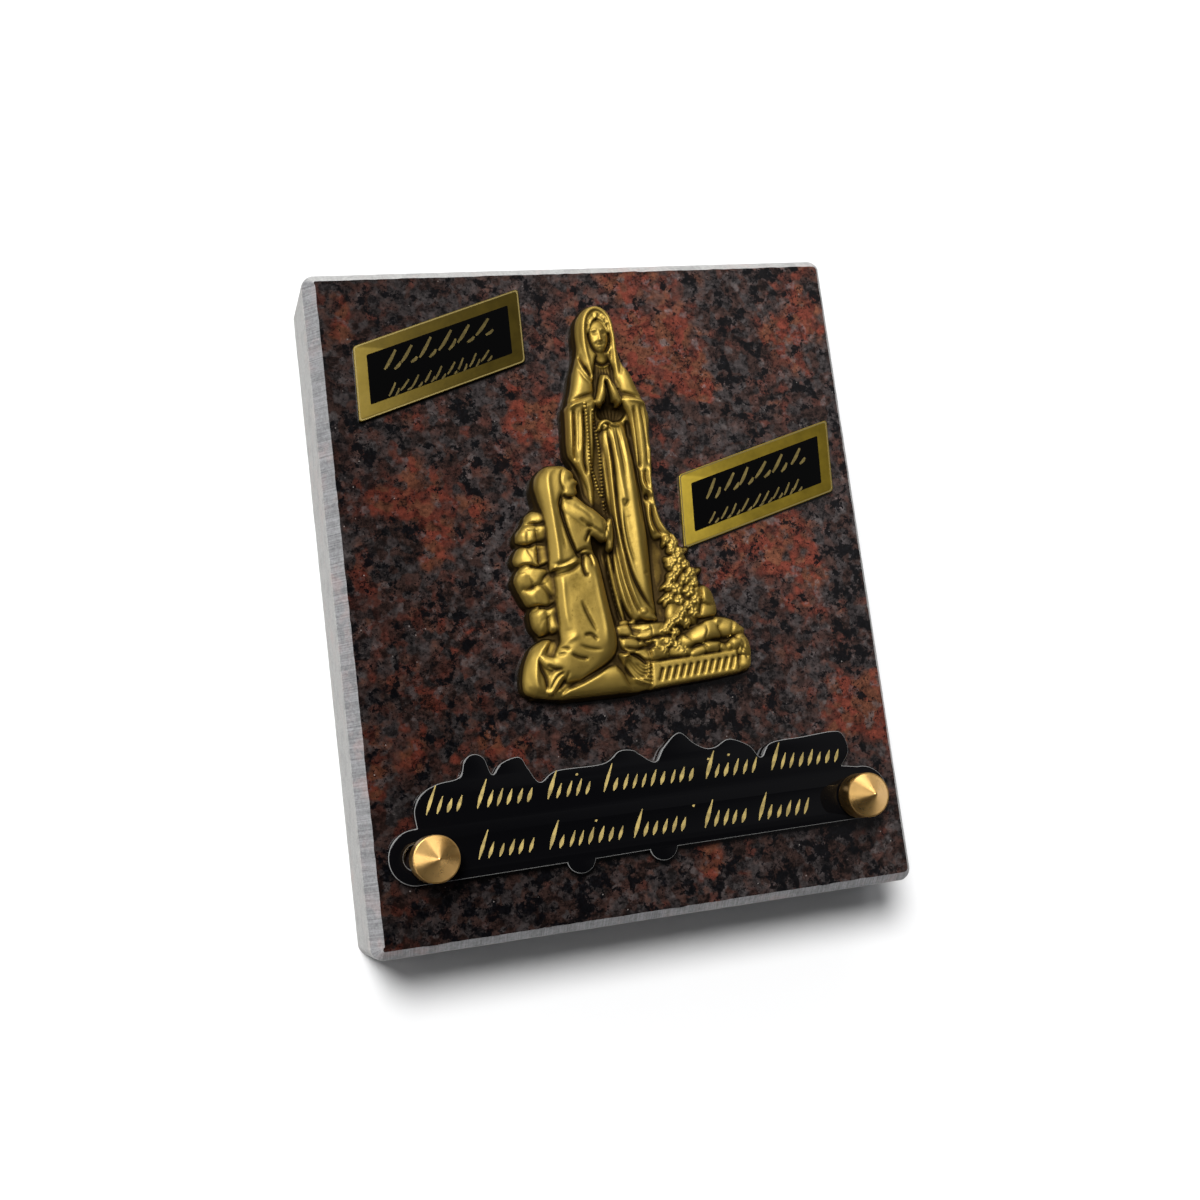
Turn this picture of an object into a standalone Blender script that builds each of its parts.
import math

import bmesh
import bpy
import numpy as np

# Granite slab: it lies on its back, with its polished face up and its top edge towards +Y
SLAB_WIDTH = 0.100
SLAB_HEIGHT = 0.120
SLAB_THICKNESS = 0.020
CHAMFER_INSET = 0.0023
CHAMFER_DEPTH = 0.0026
CORNER_STEPS = 5

# Pieces that touch keep this gap to each other
SEAT_GAP = 0.0003

# Cast bronze relief: its carving is written in shares, of which its height has RELIEF_SHARES
RELIEF_HEIGHT = 0.0714
RELIEF_SHARES = 71.4
RELIEF_WALL = 2.2
RELIEF_CELL = 0.36
RELIEF_KEPT_TRIANGLES = 0.13
SILHOUETTE_LEVEL = 1.0
RELIEF_RIGHT_REACH = 12.9

# Turned brass studs that hold the plate, each placed from the slab's nearest side and bottom edge
LEFT_STUD_FROM_SIDE = 0.0114
LEFT_STUD_FROM_BOTTOM = 0.0156
RIGHT_STUD_FROM_SIDE = 0.0101
RIGHT_STUD_FROM_BOTTOM = 0.0164
STUD_HEAD_RADIUS = 0.0040
STUD_HEAD_HEIGHT = 0.0046
STUD_POINT_HEIGHT = 0.0032
STUD_TIP_RADIUS = 0.0005
STUD_EDGE = 0.0003
SHANK_RADIUS = 0.0019
SHANK_IN_SLAB = 0.0077
SHANK_CLEARANCE = 0.0003
ROUND_STEPS = 40

# Inscription plate of black acrylic: its outline is in shares, of which the studs are PLATE_SHARES apart
PLATE_SHARES = 78.5
PLATE_THICKNESS = 0.002
PLATE_LOBE_RADIUS = 0.0047
LEFT_LOBE_PAST_STUD = 0.0026
RIGHT_LOBE_PAST_STUD = 0.0013
LOBE_ABOVE_STUD = 0.0006
PLATE_BUMP_RADIUS = 0.0026

# Foil labels: upright sides, with the long edges rising to the right. The right one keeps clear of the
# relief, whose right side reaches RELIEF_RIGHT_REACH shares beside it
LABEL_WIDTH = 0.0311
LABEL_SIDE = 0.0139
LABEL_THICKNESS = 0.0005
LABEL_CORNER = 0.0006
LEFT_LABEL_FROM_SIDE = 0.0230
LEFT_LABEL_FROM_TOP = 0.0163
LEFT_LABEL_SLOPE = math.radians(17.2)
LEFT_LABEL_LEAN = math.radians(1.2)
RIGHT_LABEL_CLEARANCE = 0.0009
RIGHT_LABEL_FROM_TOP = 0.0439
RIGHT_LABEL_SLOPE = math.radians(15.6)
RIGHT_LABEL_LEAN = math.radians(3.6)

share = RELIEF_HEIGHT / RELIEF_SHARES
seat = SLAB_THICKNESS + SEAT_GAP
plate_top = seat + PLATE_THICKNESS
hole_radius = SHANK_RADIUS + SHANK_CLEARANCE
slab_side = SLAB_WIDTH / 2
slab_end = SLAB_HEIGHT / 2
left_stud = (LEFT_STUD_FROM_SIDE - slab_side, LEFT_STUD_FROM_BOTTOM - slab_end)
right_stud = (slab_side - RIGHT_STUD_FROM_SIDE, RIGHT_STUD_FROM_BOTTOM - slab_end)
left_lobe = (left_stud[0] - LEFT_LOBE_PAST_STUD, left_stud[1] + LOBE_ABOVE_STUD)
right_lobe = (right_stud[0] + RIGHT_LOBE_PAST_STUD, right_stud[1] + LOBE_ABOVE_STUD)
plate_share = (right_stud[0] - left_stud[0]) / PLATE_SHARES
left_label = (LEFT_LABEL_FROM_SIDE - slab_side, slab_end - LEFT_LABEL_FROM_TOP)
right_label_start = RELIEF_RIGHT_REACH * share + RIGHT_LABEL_CLEARANCE
right_label = (right_label_start + LABEL_WIDTH / 2 + LABEL_SIDE / 2 * math.sin(RIGHT_LABEL_LEAN),
               slab_end - RIGHT_LABEL_FROM_TOP)


def clear_scene():
    for thing in list(bpy.data.objects):
        bpy.data.objects.remove(thing, do_unlink=True)


def make_collection(name):
    collection = bpy.data.collections.new(name)
    bpy.context.scene.collection.children.link(collection)
    return collection


def make_material(name, colour, roughness, metallic):
    material = bpy.data.materials.new(name)
    material.use_nodes = True
    shader = material.node_tree.nodes["Principled BSDF"]
    shader.inputs["Base Color"].default_value = (*colour, 1.0)
    shader.inputs["Roughness"].default_value = roughness
    shader.inputs["Metallic"].default_value = metallic
    return material


def add_object(name, data, collection, material=None):
    thing = bpy.data.objects.new(name, data)
    collection.objects.link(thing)
    if material:
        data.materials.append(material)
    return thing


def arc(centre, radius, start, end, steps):
    angles = [start + (end - start) * i / steps for i in range(steps + 1)]
    return [(centre[0] + radius * math.cos(a), centre[1] + radius * math.sin(a)) for a in angles]


def smooth_curve(points, steps):
    """Points of a Catmull-Rom curve, of any number of values each, as an array."""
    p = np.asarray(points, float)
    p = np.vstack([2 * p[0] - p[1], p, 2 * p[-1] - p[-2]])
    t = np.linspace(0, 1, steps, endpoint=False)[:, None]
    spans = []
    for a, b, c, d in zip(p, p[1:], p[2:], p[3:]):
        spans.append(0.5 * (2 * b + (c - a) * t + (2 * a - 5 * b + 4 * c - d) * t ** 2
                            + (3 * b - a - 3 * c + d) * t ** 3))
    return np.vstack(spans + [p[-2:-1]])


def flat_piece(name, outlines, thickness, z, collection, material):
    """A plate cut along closed outlines: the first is its edge, the others are holes."""
    curve = bpy.data.curves.new(name, "CURVE")
    curve.dimensions = "2D"
    curve.fill_mode = "BOTH"
    curve.extrude = thickness / 2
    for outline in outlines:
        spline = curve.splines.new("POLY")
        spline.points.add(len(outline) - 1)
        for point, (x, y) in zip(spline.points, outline):
            point.co = (x, y, 0, 1)
        spline.use_cyclic_u = True
    piece = add_object(name, curve, collection, material)
    piece.location.z = z + thickness / 2
    return piece


def slab_outline(z, rounded):
    """The slab's corners at height z, either round or as the sharp corners of the polished face."""
    x = slab_side - CHAMFER_INSET
    y = slab_end - CHAMFER_INSET
    corners = [(x, y), (-x, y), (-x, -y), (x, -y)]
    if not rounded:
        return [(cx, cy, z) for cx, cy in corners]
    points = []
    for i, corner in enumerate(corners):
        turn = i * math.pi / 2
        bend = arc(corner, CHAMFER_INSET, turn, turn + math.pi / 2, CORNER_STEPS)
        points += [(px, py, z) for px, py in bend]
    return points


def make_slab(collection, cutters, material):
    bm = bmesh.new()
    rings = slab_outline(0, True) + slab_outline(SLAB_THICKNESS - CHAMFER_DEPTH, True)
    for point in rings + slab_outline(SLAB_THICKNESS, False):
        bm.verts.new(point)
    bmesh.ops.convex_hull(bm, input=bm.verts)
    bmesh.ops.dissolve_limit(bm, angle_limit=math.radians(0.5), verts=bm.verts, edges=bm.edges)
    mesh = bpy.data.meshes.new("granite_slab")
    bm.to_mesh(mesh)
    bm.free()
    slab = add_object("granite_slab", mesh, collection, material)
    for side, axis in (("left", left_stud), ("right", right_stud)):
        cut = slab.modifiers.new(side + " stud hole", "BOOLEAN")
        cut.object = make_hole_cutter(side + "_hole_cutter", axis, cutters)
    return slab


def make_hole_cutter(name, axis, cutters):
    depth = SHANK_IN_SLAB + SHANK_CLEARANCE
    overshoot = depth / 2
    bm = bmesh.new()
    bmesh.ops.create_cone(bm, cap_ends=True, segments=ROUND_STEPS, radius1=hole_radius, radius2=hole_radius,
                          depth=depth + overshoot)
    mesh = bpy.data.meshes.new(name)
    bm.to_mesh(mesh)
    bm.free()
    cutter = add_object(name, mesh, cutters)
    cutter.location = (*axis, SLAB_THICKNESS - depth + (depth + overshoot) / 2)
    cutter.hide_render = True
    cutter.display_type = "WIRE"
    return cutter


def on_plate(x, y):
    """A place on the plate, in shares right of and above the left stud."""
    return left_stud[0] + x * plate_share, left_stud[1] + y * plate_share


def plate_outline():
    """Scalloped upper edge between two round lobes, over a straight lower edge with two bumps."""
    upper = [(76.3, 6.6), (78, 9.1), (77.5, 12), (75.7, 13), (69.6, 12.7), (63.2, 12.3), (60.9, 10),
             (59, 12.3), (55.4, 13.9), (52.6, 12.8), (50.7, 12.8), (48.6, 14), (46.1, 16.1), (42.9, 13.8),
             (41.1, 11.5), (38.6, 13), (37.2, 14), (34.7, 14.1), (31.5, 12.3), (23.2, 12.1), (20, 10.5),
             (18.2, 13), (16.8, 15.2), (13.6, 14.5), (11.8, 12.8), (10.7, 15.7), (9, 16.6), (7.3, 15.7),
             (6.1, 13), (2.2, 12.3), (-0.7, 10.9), (-2.1, 8.4), (-2, 5.4)]
    bumps = ((25.6, -3.3), (40.6, -3.1))
    edge = [on_plate(x, y) for x, y in smooth_curve(upper, 2)]
    edge += arc(left_lobe, PLATE_LOBE_RADIUS, math.radians(95), math.radians(270), 14)
    for bump in bumps:
        edge += arc(on_plate(*bump), PLATE_BUMP_RADIUS, math.radians(190), math.radians(350), 8)
    edge += arc(right_lobe, PLATE_LOBE_RADIUS, math.radians(-100), math.radians(95), 14)
    return edge


def make_plate(collection, material):
    slot = arc(left_lobe, hole_radius, math.pi / 2, 3 * math.pi / 2, ROUND_STEPS // 2)
    slot += arc(left_stud, hole_radius, -math.pi / 2, math.pi / 2, ROUND_STEPS // 2)
    hole = arc(right_stud, hole_radius, 0, 2 * math.pi, ROUND_STEPS)[:-1]
    outlines = [plate_outline(), slot, hole]
    return flat_piece("inscription_plate", outlines, PLATE_THICKNESS, seat, collection, material)


def make_stud(name, axis, collection, material):
    """A turned stud: pointed head on the plate, and a thinner shank down into the slab."""
    head = plate_top + SEAT_GAP
    rim = head + STUD_HEAD_HEIGHT
    tip = rim + STUD_POINT_HEIGHT
    foot = SLAB_THICKNESS - SHANK_IN_SLAB
    profile = [(0, tip), (STUD_TIP_RADIUS, tip - STUD_TIP_RADIUS / 2),
               (STUD_HEAD_RADIUS - STUD_EDGE, rim + STUD_EDGE), (STUD_HEAD_RADIUS, rim),
               (STUD_HEAD_RADIUS, head), (SHANK_RADIUS, head), (SHANK_RADIUS, foot), (0, foot)]
    mesh = bpy.data.meshes.new(name)
    mesh.from_pydata([(x, 0, z) for x, z in profile], [(i, i + 1) for i in range(len(profile) - 1)], [])
    stud = add_object(name, mesh, collection, material)
    stud.location = (*axis, 0)
    turn = stud.modifiers.new("turning", "SCREW")
    turn.steps = ROUND_STEPS
    turn.render_steps = ROUND_STEPS
    turn.use_merge_vertices = True
    turn.merge_threshold = 0.00001
    return stud


def make_label(name, centre, slope, lean, collection, material):
    across = (LABEL_WIDTH / 2, LABEL_WIDTH / 2 * math.tan(slope))
    up = (LABEL_SIDE / 2 * math.sin(lean), LABEL_SIDE / 2 * math.cos(lean))
    corners = [(centre[0] + i * across[0] + j * up[0], centre[1] + i * across[1] + j * up[1])
               for i, j in ((1, 1), (-1, 1), (-1, -1), (1, -1))]
    outline = []
    for before, corner, after in zip(corners[-1:] + corners[:-1], corners, corners[1:] + corners[:1]):
        first, last = (
            [c + (n - c) * LABEL_CORNER / math.dist(corner, other) for c, n in zip(corner, other)]
            for other in (before, after))
        for t in (0.0, 0.5, 1.0):
            outline.append(tuple((1 - t) ** 2 * a + 2 * t * (1 - t) * b + t * t * c
                                 for a, b, c in zip(first, corner, last)))
    return flat_piece(name, [outline], LABEL_THICKNESS, seat, collection, material)


class Clay:
    """Heights of the relief above the slab, in shares, on a square grid."""

    def __init__(self, x_range, y_range):
        self.x, self.y = np.meshgrid(np.arange(*x_range, RELIEF_CELL), np.arange(*y_range, RELIEF_CELL))
        self.h = np.full(self.x.shape, -3.0)

    def add(self, height, soft):
        """Joins a form to what is there, with the crossing rounded over soft."""
        mix = np.clip(0.5 + 0.5 * (height - self.h) / soft, 0, 1)
        self.h = self.h + (height - self.h) * mix + soft * mix * (1 - mix)

    def cloth(self, rows, crown, edge, soft=0.3, fall=6.0):
        """A draped body from rows of y, left, right and crest; it rounds off by crown over its edge."""
        r = smooth_curve(sorted(rows), 8)
        left, right, crest = (np.interp(self.y, r[:, 0], r[:, k]) for k in (1, 2, 3))
        inside = np.minimum(np.minimum(self.x - left, right - self.x),
                            np.minimum(self.y - r[0, 0], r[-1, 0] - self.y))
        u = np.clip(inside / edge, 0, 1)
        self.add(crest - crown * (1 - np.sqrt(1 - (1 - u) ** 2)) + np.minimum(inside, 0) * fall, soft)

    def roll(self, points, soft=0.3, fall=6.0):
        """A round roll along a path of x, y, radius and crest."""
        distance, radius, crest = self.along(points)
        u = distance / radius
        rise = 0.85 * radius * (1 - np.sqrt(np.clip(1 - u * u, 0, 1)))
        self.add(crest - rise - np.clip(distance - radius, 0, None) * fall, soft)

    def dome(self, x, y, width, height, crest, soft=0.4, fall=6.0):
        """A boulder or bloom on an ellipse with these half-widths."""
        q = np.hypot((self.x - x) / width, (self.y - y) / height)
        small = min(width, height)
        self.add(crest - 0.8 * small * (1 - np.sqrt(np.clip(1 - q * q, 0, 1)))
                 - np.clip(q - 1, 0, None) * small * fall, soft)

    def groove(self, depth, width, points):
        distance = self.along([(x, y, 1, 1) for x, y in points])[0]
        self.h -= depth * np.exp(-(distance / width) ** 2)

    def hollow(self, x, y, width, height, floor):
        q = np.hypot((self.x - x) / width, (self.y - y) / height)
        self.h = np.minimum(self.h, floor + np.clip(q - 0.75, 0, None) * 14 * min(width, height))

    def along(self, points):
        """Distance to a smooth path, and the path's radius and crest at its nearest place."""
        p = smooth_curve(points, 5)
        best = np.full(self.x.shape, np.inf)
        radius = np.ones(self.x.shape)
        crest = np.zeros(self.x.shape)
        for a, b in zip(p, p[1:]):
            step = b[:2] - a[:2]
            t = np.clip(((self.x - a[0]) * step[0] + (self.y - a[1]) * step[1]) / (step @ step), 0, 1)
            d = np.hypot(self.x - a[0] - t * step[0], self.y - a[1] - t * step[1])
            near = d < best
            best = np.where(near, d, best)
            radius = np.where(near, a[2] + t * (b[2] - a[2]), radius)
            crest = np.where(near, a[3] + t * (b[3] - a[3]), crest)
        return best, radius, crest


def carve_rocks(clay):
    # ground under both figures
    clay.cloth([(-9.3, -15.2, 6, 3.6), (-10.5, -17.3, 20.9, 3.7), (-14, -19.3, 22.8, 3.9),
                (-18.4, -19.6, 21.4, 3.8), (-20, -16, 9, 3.4), (-20.6, -13, 1, 3.2)], 1.5, 1.3)
    # boulders heaped behind the kneeling figure
    clay.cloth([(13, -14.6, -12, 3.4), (5, -17.4, -12, 3.8), (0, -17.6, -12, 3.8), (-9, -15.5, -12, 3.8)],
               1.6, 1.6)
    for x, y, width, height in ((-14.4, 12, 2.2, 1.6), (-14.9, 9.3, 2.9, 1.9), (-15.2, 5.3, 3.6, 2.3),
                                (-15.5, 0.1, 3.5, 3.1), (-15, -5.9, 2.5, 2.8)):
        clay.dome(x, y, width, height, 4.2 + 0.4 * height)
    # rim of the ground at the lower left, and the mound under the knees
    clay.roll([(-13.6, -9.4, 0.9, 4.5), (-18, -12.9, 1, 4.6), (-18.4, -17.4, 0.9, 4.4),
               (-14.6, -19.5, 0.8, 4)])
    clay.cloth([(-15.2, -4.6, -3, 4.6), (-16.8, -8.4, -1.8, 4.8), (-20.4, -12.5, 0.2, 3.6)], 1.4, 1.2)
    # ledges below the standing figure
    for top, left, right, crest in ((-8.6, -2.2, 6.9, 4.6), (-11.1, -1.6, 7, 4.5), (-13, 0.8, 11.5, 4.7)):
        clay.cloth([(top, left, right, crest), (top - 1.2, left, right, crest),
                    (top - 2.2, left, right, crest - 0.3)], 0.7, 0.7)
    # low ground between the figures and beside the gown, and the bank that the roses grow on
    clay.cloth([(20, -9, -3, 2.4), (10, -9, -1, 2.4), (-9, -6, 0, 2.4)], 0.4, 0.8)
    clay.cloth([(7, 6.2, 10.4, 2.6), (-3, 6, 14, 3), (-9.5, 7, 17, 3.4)], 0.4, 0.8)
    clay.cloth([(6.8, 9.5, 11, 3.6), (4, 9.6, 12.2, 3.8), (-3, 8.8, 14, 4.1), (-10, 7.4, 13, 4.2)], 1.4, 1.4)
    # boulders at the right
    clay.dome(14.5, -5.9, 2.7, 3.2, 5)
    clay.roll([(9.4, -13, 1.3, 4.5), (12.4, -11.5, 1.7, 4.9), (15.6, -10.6, 2, 5.1),
               (20.6, -11.6, 1.2, 4.6)], 0.5)
    clay.roll([(11.4, -14.6, 0.9, 4.6), (14.4, -13.9, 1, 4.7), (17.8, -14.8, 0.7, 4.5)])
    clay.roll([(18.8, -14.1, 1, 4.6), (20.8, -13.3, 1.3, 4.8), (21, -17.2, 1.4, 4.4)])


def carve_roses(clay):
    """Blooms down the bank in a staggered column, each row a little wider than the last."""
    for row in range(9):
        y = 6.2 - 1.85 * row
        for column in range(2 + row // 3):
            x = 9.6 + 1.9 * column - 0.5 * (row % 2) - 0.12 * row
            clay.dome(x, y - 0.5 * (column % 2), 0.95, 0.95, 5, 0.2)


def carve_standing_figure(clay):
    # cloak, gown and head veil
    clay.cloth([(39.4, -2.6, 5, 3.4), (36, -4.5, 7.1, 3.8), (30.5, -5.9, 8.9, 3.8), (24.5, -6.5, 8.7, 3.5),
                (20, -5.6, 8.5, 3.2), (12, -4.6, 8.5, 2.8), (9, -4.2, 9.2, 2.6), (-9, -3, 7, 2.4)], 1.2, 1.2)
    clay.cloth([(28.6, 1.2, 2.9, 3.6), (26, -0.7, 4.9, 4.8), (16, -0.9, 5.5, 5.2), (4, -1.1, 5.8, 5),
                (-4, -0.4, 5.7, 4.6), (-8.4, 1.5, 5.2, 3.4)], 2.1, 2.4)
    clay.cloth([(50.4, 1, 2.3, 4), (49.1, -1.1, 3.9, 4.6), (45.5, -2.4, 4.7, 4.7), (40.6, -2.6, 5.1, 4.5),
                (38.4, -3, 5.3, 4.2)], 1.5, 1.4)
    clay.hollow(1.6, 44.6, 3.2, 5.3, 3.4)
    clay.hollow(1.7, 38.2, 2.7, 4.2, 3.3)
    clay.roll([(-0.8, 36.5, 0.5, 4.6), (-1.5, 43, 0.6, 5.2), (-0.6, 48.4, 0.55, 5.3), (1.6, 49.9, 0.5, 5.1),
               (3.7, 48.2, 0.5, 5.1), (4.25, 43, 0.5, 5), (3.8, 35, 0.5, 4.6)], 0.2)
    # head with its hair, nose and chin, on a short neck
    clay.roll([(1.6, 42, 1.3, 3.9), (1.7, 38, 1.7, 3.8)])
    clay.dome(1.55, 44.6, 2, 3.2, 5.1, 0.1)
    for side in (-1, 1):
        clay.roll([(1.6, 48.5, 0.6, 4.9), (1.55 + side * 1.1, 47.9, 0.6, 5),
                   (1.55 + side * 2, 45.2, 0.4, 4.5)], 0.2)
    clay.roll([(1.55, 45.5, 0.3, 5.1), (1.55, 43.7, 0.4, 5.5)], 0.2)
    # shoulders, then the forearms with their hanging sleeves, then the joined hands
    clay.hollow(2, 29.4, 3.7, 2.6, 2.4)
    middle = 1.6
    for side, shoulder, hem, hem_inner, hem_outer in ((-1, 5.9, 13, 4.5, 5.3), (1, 4.1, 18.4, 4.4, 6.8)):
        upper_arm = [(39.1, 2.5, shoulder, 4.3), (36, 2.5, 5.8, 5.3), (32.6, 2.5, 6.7, 4.8)]
        sleeve = [(32.6, 2.3, 7, 5.4), (29, 3.6, 7.7, 5.4), (24, 3.8, 7.7, 5),
                  (hem + 3, 4.2, hem_outer, 4.4), (hem, hem_inner, hem_outer, 4)]
        for rows, crown, edge in ((upper_arm, 1.8, 2), (sleeve, 1.7, 1.5)):
            clay.cloth([(y, *sorted((middle + side * inner, middle + side * outer)), crest)
                        for y, inner, outer, crest in rows], crown, edge)
        clay.roll([(middle + side * 6.8, 31.3, 0.9, 5.7), (middle + side * 1.9, 32.5, 0.8, 6.2)])
        clay.roll([(middle + side * 1.8, 32, 0.75, 6.2), (middle + side * 0.85, 35.1, 0.6, 6.4),
                   (middle + side * 0.2, 36.5, 0.4, 6.1)], 0.2)
        clay.groove(1, 0.35, [(middle + side * 5.4, 30.6), (middle + side * 5.7, 21)])
    clay.groove(2, 0.4, [(1.55, 35.6), (1.6, 32.2)])
    # sash, folds of the gown, cloak edge and feet
    clay.roll([(-0.4, 27.3, 0.5, 4.8), (0.5, 28.3, 0.5, 5), (2.4, 27.3, 0.4, 4.8)], 0.2)
    clay.groove(1, 0.4, [(1, 26.4), (1, 18), (0.4, 10), (0.7, 2)])
    clay.groove(0.4, 0.4, [(3, 26.4), (3.6, 18), (2.9, 12.6)])
    clay.groove(1.1, 0.4, [(1.3, 8), (2, -0.5), (2.9, -3.2), (5.6, -6.4)])
    clay.groove(1, 0.35, [(0.1, 7), (0.7, -3.5), (1.6, -7.6)])
    clay.roll([(-1.9, 4.2, 0.6, 3.2), (-1.4, -1, 0.6, 3.2), (-0.2, -7.2, 0.5, 2.8)])
    clay.roll([(8.1, 19.2, 0.5, 4.4), (8.1, 15, 0.55, 4.1), (9, 9, 0.75, 4), (10, 7.2, 0.8, 4.1)])
    clay.roll([(7.3, 18, 0.6, 4.4), (6.9, 15.6, 0.5, 4.2), (7, 10.6, 0.6, 3.9), (8.1, 6.9, 0.5, 3.7)])
    clay.roll([(-1, -8.1, 0.6, 3.6), (1.4, -8.1, 0.6, 3.5)])
    clay.roll([(3, -6.3, 0.9, 4.9), (4.8, -7.6, 0.7, 4.5)])


def carve_kneeling_figure(clay):
    # skirt, shawl, head and the kerchief down the back
    clay.cloth([(5.2, -7.4, -5, 5), (2.4, -12.3, -3.8, 6.1), (-4, -12.7, -3.1, 6.4),
                (-10.5, -12.7, -2.3, 6.3), (-12.5, -14, -2.5, 6), (-15.4, -14, -5.2, 5.4),
                (-18, -12.4, -10.4, 4.4)], 2.6, 3)
    clay.cloth([(14.8, -9.6, -7.2, 5.7), (12.5, -9.6, -5.4, 6.1), (7, -8.6, -5.2, 6), (4.8, -7.7, -6, 5.5)],
               1.6, 1.6)
    clay.cloth([(21, -10.2, -8.4, 4.8), (18.5, -13.6, -7.1, 6.4), (14.5, -12.6, -7.7, 6.3),
                (12.5, -12.6, -7.7, 6.2)], 3, 2.6)
    clay.cloth([(16, -12.9, -9.2, 6.4), (8, -12.6, -8.5, 6.6), (3, -12.8, -7.7, 6.7),
                (1.9, -12.4, -10.5, 6.2)], 2, 2)
    clay.dome(-7.7, 18, 1.6, 1.9, 6.4)
    clay.roll([(-6.5, 18, 0.5, 6), (-6.1, 17.4, 0.4, 5.9), (-6.6, 16.3, 0.5, 5.8)])
    clay.roll([(-7.9, 16.2, 0.9, 5.6), (-8.3, 14.4, 1.2, 5.8)])
    # arm, cuff and joined hands
    clay.roll([(-8.2, 12.8, 1.4, 6.6), (-5.6, 11.4, 1.8, 7), (-3.2, 9.3, 1.6, 6.9)])
    clay.roll([(-4.4, 9.2, 1.2, 6.5), (-2.6, 7.5, 1.2, 6.5)])
    clay.roll([(-1.5, 5.2, 0.6, 5.7), (-1.4, 7.5, 0.75, 6.1), (-1, 10.4, 0.5, 5.8)], 0.2)
    # folds, and the feet in their shoes
    clay.groove(0.9, 0.35, [(-10.4, 15), (-9.4, 8.4), (-7.8, 4.2)])
    clay.groove(0.7, 0.35, [(-12.9, 1.6), (-9.4, 2), (-7.6, 3)])
    clay.groove(0.6, 0.6, [(-10, -2.6), (-10, -8)])
    clay.groove(0.6, 0.35, [(-8.3, -3.6), (-6.2, -9.4)])
    clay.groove(0.5, 0.35, [(-11.2, -12.7), (-8.2, -13.9)])
    clay.dome(-14.9, -14.2, 1.8, 1.3, 5.3)
    clay.roll([(-12.8, -15.8, 0.95, 5.1), (-15.6, -18.8, 0.7, 4.6)])


def carve_tablet(clay):
    """A flat tablet, nearly a rectangle, proud of the rocks in front."""
    slope = 0.045
    up = clay.y - slope * clay.x
    inside = np.minimum(np.minimum(clay.x - 3.4, 19.7 - clay.x), np.minimum(up + 20, -15.7 - up))
    clay.h = np.where(inside > 0, 4.5, clay.h)


def make_relief(collection, material):
    clay = Clay((-21, 24.4), (-22, 52))
    for carve in (carve_rocks, carve_roses, carve_standing_figure, carve_kneeling_figure, carve_tablet):
        carve(clay)
    mesh = clay_to_mesh("bronze_relief", clay)
    relief = add_object("bronze_relief", mesh, collection, material)
    thin = relief.modifiers.new("fewer triangles", "DECIMATE")
    thin.ratio = RELIEF_KEPT_TRIANGLES
    return relief


def clay_to_mesh(name, clay):
    """The cells inside the silhouette, their outer corners drawn in to it, over a flat back."""
    rows, columns = clay.h.shape
    inside = clay.h > SILHOUETTE_LEVEL
    cells = inside[:-1, :-1] | inside[1:, :-1] | inside[:-1, 1:] | inside[1:, 1:]
    slope_y, slope_x = np.gradient(clay.h, RELIEF_CELL)
    steep = np.maximum(slope_x ** 2 + slope_y ** 2, 1.0)
    pull = np.where(inside, 0, np.clip((SILHOUETTE_LEVEL - clay.h) / steep, 0, 0.2 * RELIEF_CELL))
    x = (clay.x + pull * slope_x) * share
    y = (clay.y + pull * slope_y) * share
    z = seat + np.maximum(clay.h, RELIEF_WALL) * share
    bm = bmesh.new()
    bmesh.ops.create_grid(bm, x_segments=columns - 1, y_segments=rows - 1, size=1)
    bm.verts.ensure_lookup_table()
    for vert, px, py, pz in zip(bm.verts, x.ravel(), y.ravel(), z.ravel()):
        vert.co = (px, py, pz)
    bm.faces.ensure_lookup_table()
    outside = [face for face, kept in zip(bm.faces, cells.ravel()) if not kept]
    bmesh.ops.delete(bm, geom=outside, context="FACES")
    back = bmesh.ops.extrude_face_region(bm, geom=bm.faces[:], use_keep_orig=True)
    for vert in back["geom"]:
        if isinstance(vert, bmesh.types.BMVert):
            vert.co.z = seat
    bmesh.ops.recalc_face_normals(bm, faces=bm.faces)
    mesh = bpy.data.meshes.new(name)
    bm.to_mesh(mesh)
    bm.free()
    return mesh


def main():
    clear_scene()
    plaque = make_collection("memorial plaque")
    cutters = make_collection("cutters")
    granite = make_material("polished granite", (0.13, 0.07, 0.06), 0.25, 0.0)
    bronze = make_material("gilt bronze", (0.42, 0.28, 0.09), 0.35, 0.9)
    acrylic = make_material("black acrylic", (0.01, 0.01, 0.012), 0.08, 0.0)
    brass = make_material("brass", (0.80, 0.47, 0.15), 0.2, 1.0)
    foil = make_material("gold foil", (0.35, 0.27, 0.07), 0.35, 0.6)
    make_slab(plaque, cutters, granite)
    make_relief(plaque, bronze)
    make_plate(plaque, acrylic)
    make_stud("stud_left", left_stud, plaque, brass)
    make_stud("stud_right", right_stud, plaque, brass)
    make_label("label_left", left_label, LEFT_LABEL_SLOPE, LEFT_LABEL_LEAN, plaque, foil)
    make_label("label_right", right_label, RIGHT_LABEL_SLOPE, RIGHT_LABEL_LEAN, plaque, foil)


main()
